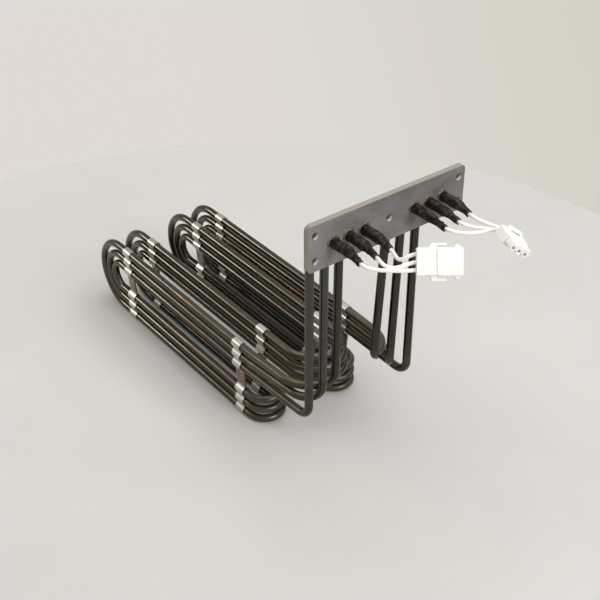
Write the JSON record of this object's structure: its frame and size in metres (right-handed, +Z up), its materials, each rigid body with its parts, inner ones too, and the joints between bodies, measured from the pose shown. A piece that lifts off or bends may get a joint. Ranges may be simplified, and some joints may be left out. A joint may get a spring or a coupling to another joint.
{
  "type": "heating element",
  "caption": "Flange-mounted electric heating element: three nested sheathed tubes, strip clips, sleeved terminals and two three-way plugs.",
  "frame": {"origin": "centre of the flange plate's back face, which seats on the wall it is bolted to", "axes": "+X out of the plate towards the terminals, +Y along the plate, +Z up"},
  "size_m": [0.5053, 0.17, 0.2886],
  "materials": {
    "plate_steel": "matt",
    "sheath_alloy": "satin",
    "brazing": "matt",
    "seal_white": "matt",
    "pin_nickel": "satin",
    "splice_tin": "satin",
    "sleeve_black": "matt",
    "lead_white": "matt",
    "clip_steel": "polished",
    "housing_white": "satin",
    "contact_tin": "polished"
  },
  "bodies": {
    "root": {"flange_plate": "plate_steel", "sheath_outer": "sheath_alloy", "sheath_middle": "sheath_alloy", "sheath_inner": "sheath_alloy", "braze_ring_1": "brazing", "end_seal_1": "seal_white", "terminal_pin_1": "pin_nickel", "splice_1": "splice_tin", "sleeve_1": "sleeve_black", "lead_1": "lead_white", "braze_ring_2": "brazing", "end_seal_2": "seal_white", "terminal_pin_2": "pin_nickel", "splice_2": "splice_tin", "sleeve_2": "sleeve_black", "lead_2": "lead_white", "braze_ring_3": "brazing", "end_seal_3": "seal_white", "terminal_pin_3": "pin_nickel", "splice_3": "splice_tin", "sleeve_3": "sleeve_black", "lead_3": "lead_white", "braze_ring_4": "brazing", "end_seal_4": "seal_white", "terminal_pin_4": "pin_nickel", "splice_4": "splice_tin", "sleeve_4": "sleeve_black", "lead_4": "lead_white", "braze_ring_5": "brazing", "end_seal_5": "seal_white", "terminal_pin_5": "pin_nickel", "splice_5": "splice_tin", "sleeve_5": "sleeve_black", "lead_5": "lead_white", "braze_ring_6": "brazing", "end_seal_6": "seal_white", "terminal_pin_6": "pin_nickel", "splice_6": "splice_tin", "sleeve_6": "sleeve_black", "lead_6": "lead_white", "clip_back_a": "clip_steel", "clip_front_a": "clip_steel", "clip_back_b": "clip_steel", "clip_front_b": "clip_steel", "clip_back_c": "clip_steel", "clip_front_c": "clip_steel", "clip_back_d": "clip_steel", "clip_front_d": "clip_steel", "socket_housing": "housing_white", "plug_housing": "housing_white", "pin_contact_1": "contact_tin", "pin_contact_2": "contact_tin", "pin_contact_3": "contact_tin", "socket_contact_4": "contact_tin", "socket_contact_5": "contact_tin", "socket_contact_6": "contact_tin"}
  },
  "joints": []
}
